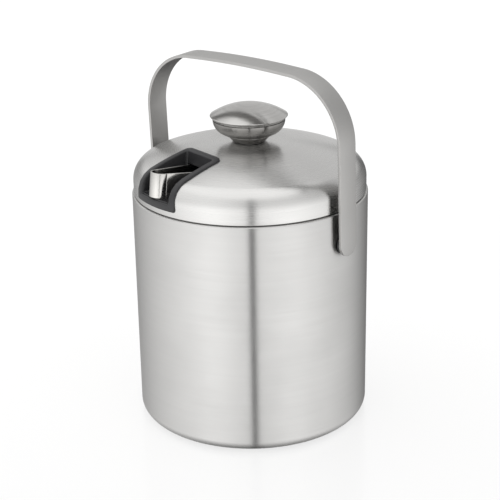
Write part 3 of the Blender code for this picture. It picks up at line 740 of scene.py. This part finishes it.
def build_well():
    sill = along_at_height(LID_Z + 8.0 * MM)
    foot = along_at_height(LID_Z + 3.1 * MM)
    outer = well_ring(16.8 * MM, 18.8 * MM, 34.6 * MM, foot, 4.5 * MM, 1.2 * MM)
    inner = well_ring(13.3 * MM, 14.2 * MM, 39.1 * MM, sill, 1.8 * MM, 0.8 * MM)
    wall = well_ring(14.0 * MM, 15.4 * MM, 37.9 * MM, sill + 1.0 * MM, 2.6 * MM, 1.2 * MM)

    edge_share = 0.26
    top = []
    steps = 6
    for i in range(steps + 1):
        angle = QUARTER * i / steps
        top.append((edge_share * (1 - math.cos(angle)), math.sin(angle)))
    section = top + [(0.45, 1.0)] + [(1 - share, height) for share, height in reversed(top)]
    edge_lift = 0.12 * MM
    flange_lift = 1.35 * MM
    flange = []
    for share, height in section:
        lift = edge_lift + (flange_lift - edge_lift) * height
        flange.append([on_lid(a, s, lift) for a, s in between(outer, inner, share)])

    draft = 0.3 * MM
    mid_wall = []
    low_wall = []
    floor_ring = []
    for spot in flange[-1]:
        low = on_floor(spot, 0.0, draft)
        low.z = min(low.z, spot.z - 0.3 * MM)
        mid_wall.append(spot.lerp(low, 0.5))
        low_wall.append(spot.lerp(low, 0.94))
        floor_ring.append(on_floor(low, 0.0, 0.5 * MM))

    under_lift = 0.1 * MM
    under_edge = [on_lid(a, s, under_lift) for a, s in between(outer, inner, 0.05)]
    under_wall = [on_lid(a, s, under_lift) for a, s in wall]
    under_low = []
    for spot in under_wall:
        low = on_floor(spot, 1.15 * MM, 0.0)
        low.z = min(low.z, spot.z - 0.6 * MM)
        under_low.append(low)
    rings = [under_low, under_wall, under_edge] + flange + [mid_wall, low_wall, floor_ring]
    made = bridged("tongs_well_moulding", rings, WELL_PLASTIC)
    made.data.transform(LID_FRAME)
    return made


well = build_well()
stand_for(well, "lid", "tongs_well")

# %% [markdown]
# The dome is one sheet with a rolled hem. The mouth is cut with a plug that has
# the well's own outline, so the flange always covers the cut edge.

# %% Press the dome and cut the mouth
def cut_away(piece, cutter):
    """Cut a piece with another one for good."""
    modifier = piece.modifiers.new("cut", "BOOLEAN")
    modifier.object = cutter
    modifier.operation = "DIFFERENCE"
    modifier.solver = "EXACT"
    bpy.context.view_layer.objects.active = piece
    bpy.ops.object.modifier_apply(modifier=modifier.name)
    bpy.data.objects.remove(cutter)
    piece.data.shade_smooth()
    piece.data.set_sharp_from_angle(angle=math.radians(30))


def build_dome():
    hem_in = LID_R - 2.2 * MM
    hem_high = LID_Z + 0.5 * MM
    curl = 0.45 * MM
    low = LID_Z - 0.35 * MM
    outline = [(STUD_HOLE, SEAT_Z)] + dome_line(0.0, 2)[::-1]
    outline += arc_points(LID_R - curl, low + curl, curl, 0, -QUARTER, 5)
    outline += [(hem_in, low), (hem_in, hem_high), (LID_R - SHEET, hem_high)]
    outline += dome_line(-SHEET, 2) + [(STUD_HOLE, SEAT_Z - SHEET)]
    dome = spun("lid_dome_shell", outline, LID_STEEL, 256)
    foot = along_at_height(LID_Z + 4.5 * MM)
    mouth = well_ring(15.4 * MM, 17.0 * MM, 36.2 * MM, foot, 3.6 * MM, 1.0 * MM)
    below = [on_lid(a, s, -3 * MM) for a, s in mouth]
    above = [on_lid(a, s, 2 * MM) for a, s in mouth]
    beyond = [place + Vector((0, -40 * MM, 60 * MM)) for place in above]
    plug = bridged("mouth_plug", [below, above, beyond], LID_STEEL)
    plug.data.transform(LID_FRAME)
    cut_away(dome, plug)
    stand_for(dome, "lid", "lid_dome")


def build_lid_underside():
    plug_r = BODY_R - 10.0 * MM
    flange_r = LID_R - SHEET - GAP
    corner = 3.0 * MM
    top = LID_Z + 0.8 * MM
    bead = 52 * MM
    bead_in = bead - 2 * MM
    raised = PAN_Z + 0.5 * MM
    raised_top = PAN_Z + 1.3 * MM
    turn_x = plug_r - corner
    turn_z = PAN_Z + corner
    pan = [(0, raised), (bead_in, raised), (bead, PAN_Z)]
    pan += arc_points(turn_x, turn_z, corner, -QUARTER, 0, 8)
    pan += [(plug_r, top), (flange_r, top), (flange_r, top + SHEET)]
    pan += [(plug_r - SHEET, top + SHEET)]
    pan += arc_points(turn_x, turn_z, corner - SHEET, 0, -QUARTER, 8)
    pan += [(bead, PAN_Z + SHEET), (bead_in, raised_top), (0, raised_top)]
    made = spun("lid_pan_shell", pan, LINER_STEEL, 192)
    stand_for(made, "lid", "lid_pan")


build_dome()
build_lid_underside()

# %% [markdown]
# The seal is a flat ring of rubber on the rim. It has a groove along its
# underside and a notch round its edge, so it gives a little under the lid.

# %% Seal ring
def build_seal():
    low, high = heights_of("lid_seal")
    outer = radius_of("lid_seal")
    inner = BODY_R - 9.7 * MM
    soft = 0.3 * MM
    groove = low + 0.4 * MM
    ring = [(inner, low + soft), (inner, high), (outer - soft, high), (outer, high - soft)]
    ring += [(outer - 0.8 * MM, (low + high) / 2), (outer, low + 0.2 * MM), (outer - soft, low)]
    ring += [(outer - 2.2 * MM, low), (outer - 2.6 * MM, groove), (inner + 2.2 * MM, groove)]
    ring += [(inner + 1.8 * MM, low), (inner + soft, low)]
    seal = spun("lid_seal_ring", ring, SEAL_RUBBER, 160)
    stand_for(seal, "lid", "lid_seal")


build_seal()

# %% [markdown]
# ## The knob
# Three turned pieces are stacked on one stud: a flared foot, a bowl and a lens
# shaped cap whose edge overhangs the bowl. A fine ledge runs under the cap.

# %% Turn the knob
def build_knob():
    edge = 0.35 * MM
    groove = 0.45 * MM
    foot_low, foot_high = heights_of("knob_foot")
    neck = radius_of("knob_foot")
    foot_r = 10.9 * MM
    heel = foot_r - 1.3 * MM
    foot = [(STUD_HOLE, foot_low), (heel, foot_low), (heel, foot_low + groove)]
    foot += arc_points(foot_r - edge, foot_low + edge + groove, edge, -QUARTER, -0.4, 4)
    foot += arc_points(neck - edge, foot_high - edge, edge, -0.6, QUARTER, 5)
    foot += [(STUD_HOLE, foot_high)]
    foot_piece = spun("knob_foot_turned", foot, BOWL_STEEL, 128)
    stand_for(foot_piece, "lid", "knob_foot")

    bowl_low, bowl_high = heights_of("knob_bowl")
    bowl_r = radius_of("knob_bowl")
    wall = 1.4 * MM
    flare = bowl_r - neck
    rise = bowl_high - bowl_low
    steps = 24
    outer = []
    inner = []
    for i in range(steps + 1):
        out = math.sin(QUARTER * i / steps)
        down = math.cos(QUARTER * i / steps)
        outer.append((neck + flare * out, bowl_high - rise * down))
        inner.append((neck + (flare - wall) * out, bowl_high - (rise - wall) * down))
    bowl = [(STUD_HOLE, bowl_low), (neck - 0.6 * MM, bowl_low)] + outer
    bowl += inner[::-1] + [(STUD_HOLE, bowl_low + wall)]
    bowl_piece = spun("knob_bowl_turned", bowl, BOWL_STEEL, 160)
    stand_for(bowl_piece, "lid", "knob_bowl")

    cap_low, cap_high = heights_of("knob_cap")
    rim_r = radius_of("knob_cap")
    rim_z = cap_low + 2.2 * MM
    crown_rise = cap_high - rim_z
    crown = (rim_r**2 + crown_rise**2) / (2 * crown_rise)
    spread = math.asin(rim_r / crown)
    cap_in = bowl_r - wall
    soft = 0.28 * MM
    over = arc_points(0, cap_high - crown, crown, QUARTER - spread, QUARTER, 40)
    cap = [(cap_in, cap_low), (bowl_r - 0.1 * MM, cap_low)]
    cap += [(bowl_r + 0.15 * MM, cap_low + 0.3 * MM), (rim_r - 0.55 * MM, rim_z - 0.6 * MM)]
    cap += arc_points(rim_r - soft, rim_z - 0.1 * MM, soft, -0.7, 0.9, 6)
    cap += [point for point in over if point[0] < rim_r - soft]
    cap += [(0, cap_high - wall), (cap_in, rim_z - 0.5 * MM)]
    cap_piece = spun("knob_cap_turned", cap, KNOB_STEEL, 160)
    stand_for(cap_piece, "lid", "knob_cap")


build_knob()

# %% [markdown]
# ## The bail
# The handle is one strip bent over the lid. Its path goes up one side, round a
# wide corner and over a slightly crowned top. The strip's half width shrinks to
# nothing round each end, which makes the two round eyes at the pivots.

# %% A strip that follows a path
UV_SCALE = 4.0


def soften(bm, edges, width):
    """Round edges with a narrow bevel."""
    bmesh.ops.bevel(
        bm,
        geom=edges,
        offset=width,
        segments=3,
        profile=0.5,
        affect="EDGES",
        material=-1,
        clamp_overlap=True,
    )


def strip(name, path, widths, thickness, across, material, bevel):
    """Pull a flat section along (place, normal) pairs. The path is the outside face."""
    bm = bmesh.new()
    rings = []
    for (place, normal), half in zip(path, widths):
        outside = Vector(place)
        inside = outside + Vector(normal) * thickness
        side = Vector(across) * half
        rings.append([outside - side, outside + side, inside + side, inside - side])
    rows = skin(bm, rings)
    along = {}
    length = 0.0
    for i, row in enumerate(rows):
        if i:
            length += (Vector(path[i][0]) - Vector(path[i - 1][0])).length
        along.update({vert: length for vert in row})
    uv = bm.loops.layers.uv.new("strip")
    for face in bm.faces:
        for loop in face.loops:
            offset = loop.vert.co.dot(Vector(across))
            loop[uv].uv = (along[loop.vert] * UV_SCALE, offset * UV_SCALE + 0.5)
    soften(bm, [e for e in bm.edges if e.calc_face_angle(0.0) > math.radians(50)], bevel)
    return to_object(bm, name, material, 35.0)


def strip_steel(name, tone, roughness, spread, bump):
    """Steel that was brushed along its strip: long threads that follow the path."""
    made, shader, g = new_material(name, tone, roughness, 1.0, Anisotropic=spread)
    flow = g.add("ShaderNodeUVMap", uv_map="strip").outputs[0]
    u, v = g.add("ShaderNodeSeparateXYZ", {0: flow}).outputs[:2]
    long_way = g.math("MULTIPLY", u, 18.0)
    cross_way = g.math("MULTIPLY", v, 2600.0)
    spot = g.add("ShaderNodeCombineXYZ", {0: long_way, 1: cross_way}).outputs[0]
    threads = g.add("ShaderNodeTexNoise", {"Vector": spot, "Scale": 1.0, "Detail": 3.0})
    place = g.add("ShaderNodeTexCoord").outputs["Object"]
    marks = g.add("ShaderNodeTexNoise", {"Vector": place, "Scale": 34.0, "Detail": 3.0})
    shade = g.ramp(threads.outputs[0], 0.3, 0.7)
    g.feed(tinted(g, shade, tuple(c * 0.96 for c in tone), tone), shader.inputs["Base Color"])
    rough = g.ramp(threads.outputs[0], 0.3, 0.7, roughness * 0.9, roughness * 1.1)
    wear = g.ramp(marks.outputs[0], 0.4, 0.8, 0.0, roughness * 0.14)
    g.feed(g.math("ADD", rough, wear), shader.inputs["Roughness"])
    add_bump(g, shader, threads.outputs[0], bump, 0.02 * MM)
    tangent = g.add("ShaderNodeTangent", direction_type="UV_MAP", uv_map="strip")
    g.feed(tangent.outputs[0], shader.inputs["Tangent"])
    return made


BAIL_STEEL = strip_steel("bail_steel", (0.475, 0.47, 0.462), 0.44, 0.0, 0.2)
TONGS_STEEL = strip_steel("tongs_steel", (0.61, 0.60, 0.58), 0.20, 0.3, 0.10)

BAIL_FRAME = Matrix.Translation(PIVOT) @ Matrix.Rotation(BAIL_LEAN, 4, "X")


def build_bail():
    corner = 40.2 * MM
    crown = 1.1 * MM
    half = 7.65 * MM
    thickness = 1.84 * MM
    edge = 0.35 * MM
    end_angle = math.radians(86)
    end_steps = 14
    top = cad_high[2] - PIVOT.z
    corner_x = BAIL_X - corner
    corner_z = top - crown - corner
    right = []
    widths = []
    for i in range(end_steps + 1):
        angle = end_angle * (i / end_steps - 1)
        right.append(((BAIL_X, 0, half * math.sin(angle)), (-1, 0, 0)))
        widths.append(half * math.cos(angle))
    for i in range(1, 5):
        right.append(((BAIL_X, 0, corner_z * i / 5), (-1, 0, 0)))
    for x, z in arc_points(corner_x, corner_z, corner, 0, QUARTER, 30):
        normal = Vector((corner_x - x, 0, corner_z - z)).normalized()
        right.append(((x, 0, z), tuple(normal)))
    for i in range(1, 11):
        x = corner_x * (1 - i / 10)
        right.append(((x, 0, top - crown * (x / corner_x) ** 2), (0, 0, -1)))
    widths += [half] * (len(right) - len(widths))
    left = [((-p[0], 0, p[2]), (-n[0], 0, n[2])) for p, n in reversed(right[:-1])]
    path = right + left
    widths += widths[-2::-1]
    bail = strip("bail_strip", path, widths, thickness, (0, 1, 0), BAIL_STEEL, edge)
    bail.data.transform(BAIL_FRAME)
    stand_for(bail, "bail", "bail_handle")


build_bail()

# %% [markdown]
# ## The tongs
# The tongs are one strip on edge. The bow is a round bend with a small radius,
# and both arms leave it at a slant, then run parallel down the sleeve. They end
# in plain tips that turn in.

# %% Bend the bow and the arms
BOW_R = 6.0 * MM
SPREAD = math.radians(8.5)
TONGS_SHEET = 1.0 * MM
TONGS_EDGE = 0.25 * MM
ARM = 126.6 * MM
ARM_START = 0.02 * MM
TIP_TURN = math.radians(35)


def tongs_strip(name, path, body, node):
    """One length of the tongs' strip, set in its place in the lid."""
    widths = [STRIP / 2] * len(path)
    piece = strip(name, path, widths, TONGS_SHEET, (0, 0, 1), TONGS_STEEL, TONGS_EDGE)
    piece.data.transform(TONGS_FRAME)
    stand_for(piece, body, node)


def build_tongs():
    bow = []
    steps = 36
    for i in range(steps + 1):
        angle = -QUARTER - SPREAD + (math.pi + 2 * SPREAD) * i / steps
        normal = Vector((-math.sin(angle), math.cos(angle), 0))
        bow.append((tuple(normal * -BOW_R), tuple(normal)))
    tongs_strip("tongs_bow_bend", bow, "tongs", "tongs_bow")

    end = ARM / MM
    turns = [(0, SPREAD), (23, SPREAD), (26, SPREAD * 0.8), (28, SPREAD * 0.5)]
    turns += [(30, SPREAD * 0.2), (33, 0), (60, 0), (90, 0), (end - 10, 0)]
    turns += [(end - 8, -0.15), (end - 6, -0.4), (end - 4, -0.55), (end - 0.3, -TIP_TURN)]
    for word, side in (("near", 1), ("far", -1)):
        x = BOW_R * math.cos(SPREAD) + ARM_START * math.sin(SPREAD)
        y = BOW_R * math.sin(SPREAD) + ARM_START * math.cos(SPREAD)
        path = []
        before = 0
        for distance, lean in turns:
            x += (distance - before) * MM * math.sin(lean)
            y += (distance - before) * MM * math.cos(lean)
            before = distance
            path.append(((side * x, y, 0), (-side * math.cos(lean), math.sin(lean), 0)))
        tongs_strip("tongs_arm_" + word + "_bend", path, "tongs_" + word, "tongs_arm_" + word)


build_tongs()

# %% [markdown]
# Below the well, the arms run inside a square sleeve that crosses the lid. A
# slot is cut through the back wall of the well, and the sleeve is hollowed.

# %% The sleeve, and the slot through the well
SLOT_HALF = 11.84 * MM
SLOT_HIGH = 8.15 * MM
SLEEVE_WALL = 1.2 * MM
SLEEVE_START = BOW_OUT - 38.5 * MM
SLEEVE_END = ARM + SLEEVE_WALL + STRIP_ROOM


def block(name, low, high, edge=0.0):
    """A box between two corners of the tongs' frame, with soft edges if asked."""
    bm = bmesh.new()
    bmesh.ops.create_cube(bm, size=1.0)
    bmesh.ops.scale(bm, vec=Vector(high) - Vector(low), verts=bm.verts)
    bmesh.ops.translate(bm, vec=(Vector(low) + Vector(high)) / 2, verts=bm.verts)
    if edge > 0:
        soften(bm, list(bm.edges), edge)
    made = to_object(bm, name, WELL_PLASTIC)
    made.data.transform(TONGS_FRAME)
    return made


def build_sleeve():
    slot_low = (-SLOT_HALF, SLEEVE_START - 6 * MM, -SLOT_HIGH + 0.12 * MM)
    slot_high = (SLOT_HALF, SLEEVE_END - SLEEVE_WALL, SLOT_HIGH)
    cut_away(well, block("well_slot", slot_low, slot_high))
    side = SLOT_HALF + SLEEVE_WALL
    side_high = SLOT_HIGH + SLEEVE_WALL
    low = (-side, SLEEVE_START + SLEEVE_WALL + GAP, -side_high + 0.1 * MM)
    sleeve = block("tongs_sleeve_tube", low, (side, SLEEVE_END, side_high), 0.5 * MM)
    cut_away(sleeve, block("sleeve_hollow", slot_low, slot_high))
    stand_for(sleeve, "lid", "tongs_sleeve")


build_sleeve()

# %% [markdown]
# ## Pivots and hidden parts
# Each stud turns in a black bush, with a thin washer under the bail. The washers
# and bushes are turned afresh, so their edges are round. The pieces inside the
# walls keep their solids and only take a finish.

# %% Bushes, washers and rings at the pivots
def zinc(name):
    made, shader, g = new_material(name, (0.62, 0.62, 0.61), 0.30, 1.0)
    place = g.add("ShaderNodeTexCoord").outputs["Object"]
    grain = g.add("ShaderNodeTexNoise", {"Vector": place, "Scale": 1500.0, "Detail": 4.0})
    cloud = g.add("ShaderNodeTexNoise", {"Vector": place, "Scale": 220.0, "Detail": 2.0})
    shade = g.ramp(cloud.outputs[0], 0.35, 0.7)
    g.feed(tinted(g, shade, (0.52, 0.52, 0.51), (0.66, 0.66, 0.64)), shader.inputs["Base Color"])
    g.feed(g.ramp(grain.outputs[0], 0.3, 0.7, 0.24, 0.40), shader.inputs["Roughness"])
    add_bump(g, shader, grain.outputs[0], 0.2, 0.03 * MM)
    return made


def foam(name):
    made, shader, g = new_material(name, (0.74, 0.69, 0.52), 0.85)
    place = g.add("ShaderNodeTexCoord").outputs["Object"]
    cells = g.add("ShaderNodeTexVoronoi", {"Vector": place, "Scale": 900.0})
    tint = g.ramp(cells.outputs["Distance"], 0.0, 0.6)
    g.feed(tinted(g, tint, (0.62, 0.56, 0.38), (0.80, 0.76, 0.60)), shader.inputs["Base Color"])
    add_bump(g, shader, cells.outputs["Distance"], 0.6, 0.3 * MM)
    return made


ZINC = zinc("zinc_plate")
FOAM = foam("pour_foam")
BUSH_PLASTIC = black_plastic("bush_plastic")


def on_pivot(name, outline, material, side, frame_matrix):
    """Spin a (radius, distance out) outline and lay its axis along the pivot."""
    piece = spun(name, outline, material, 64)
    turn = Matrix.Rotation(QUARTER * side, 4, "Y")
    piece.data.transform(frame_matrix @ turn)
    return piece


def pivot_sizes(node):
    """How near and how far from the middle a pivot's piece lies, and its radius."""
    low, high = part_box(node)
    near, far = sorted((abs(low[0]), abs(high[0])))
    return near, far, (high[2] - low[2]) / 2


def build_pivots():
    upright = Matrix.Translation(PIVOT)
    bush_bore = 2.9 * MM
    bush_body = 4.0 * MM
    bush_edge = 0.3 * MM
    washer_bore = 2.8 * MM
    washer_edge = 0.1 * MM
    for word, side in (("left", -1), ("right", 1)):
        near, far, flange = pivot_sizes("pivot_bush_" + word)
        seat = far - 1.0 * MM
        bush = [(bush_bore, near), (bush_body, near), (bush_body, seat), (flange, seat)]
        bush += [(flange, far - bush_edge), (flange - bush_edge, far)]
        bush += [(bush_bore + bush_edge, far), (bush_bore, far - bush_edge)]
        piece = on_pivot("pivot_bush_turned_" + word, bush, BUSH_PLASTIC, side, upright)
        stand_for(piece, "bucket", "pivot_bush_" + word)

        near, far, rim = pivot_sizes("friction_washer_" + word)
        inner = rim - washer_edge
        washer = [(washer_bore, near), (inner, near), (rim, near + washer_edge)]
        washer += [(rim, far - washer_edge), (inner, far), (washer_bore, far)]
        piece = on_pivot("friction_washer_turned_" + word, washer, ZINC, side, BAIL_FRAME)
        stand_for(piece, "bail", "friction_washer_" + word)


build_pivots()

# %% Finishes for the solids that stay
FINISHES = {
    "pivot_stud_left": ZINC,
    "pivot_stud_right": ZINC,
    "retaining_ring_left": ZINC,
    "retaining_ring_right": ZINC,
    "pivot_plate_left": BARE_STEEL,
    "pivot_plate_right": BARE_STEEL,
    "knob_stud": ZINC,
    "knob_washer": ZINC,
    "knob_nut": ZINC,
    "wall_insulation": FOAM,
    "lid_insulation_left": FOAM,
    "lid_insulation_right": FOAM,
}
for name, finish in FINISHES.items():
    for place in nodes[name].material_slots:
        place.material = finish
print("solids kept with a new finish:", len(FINISHES))
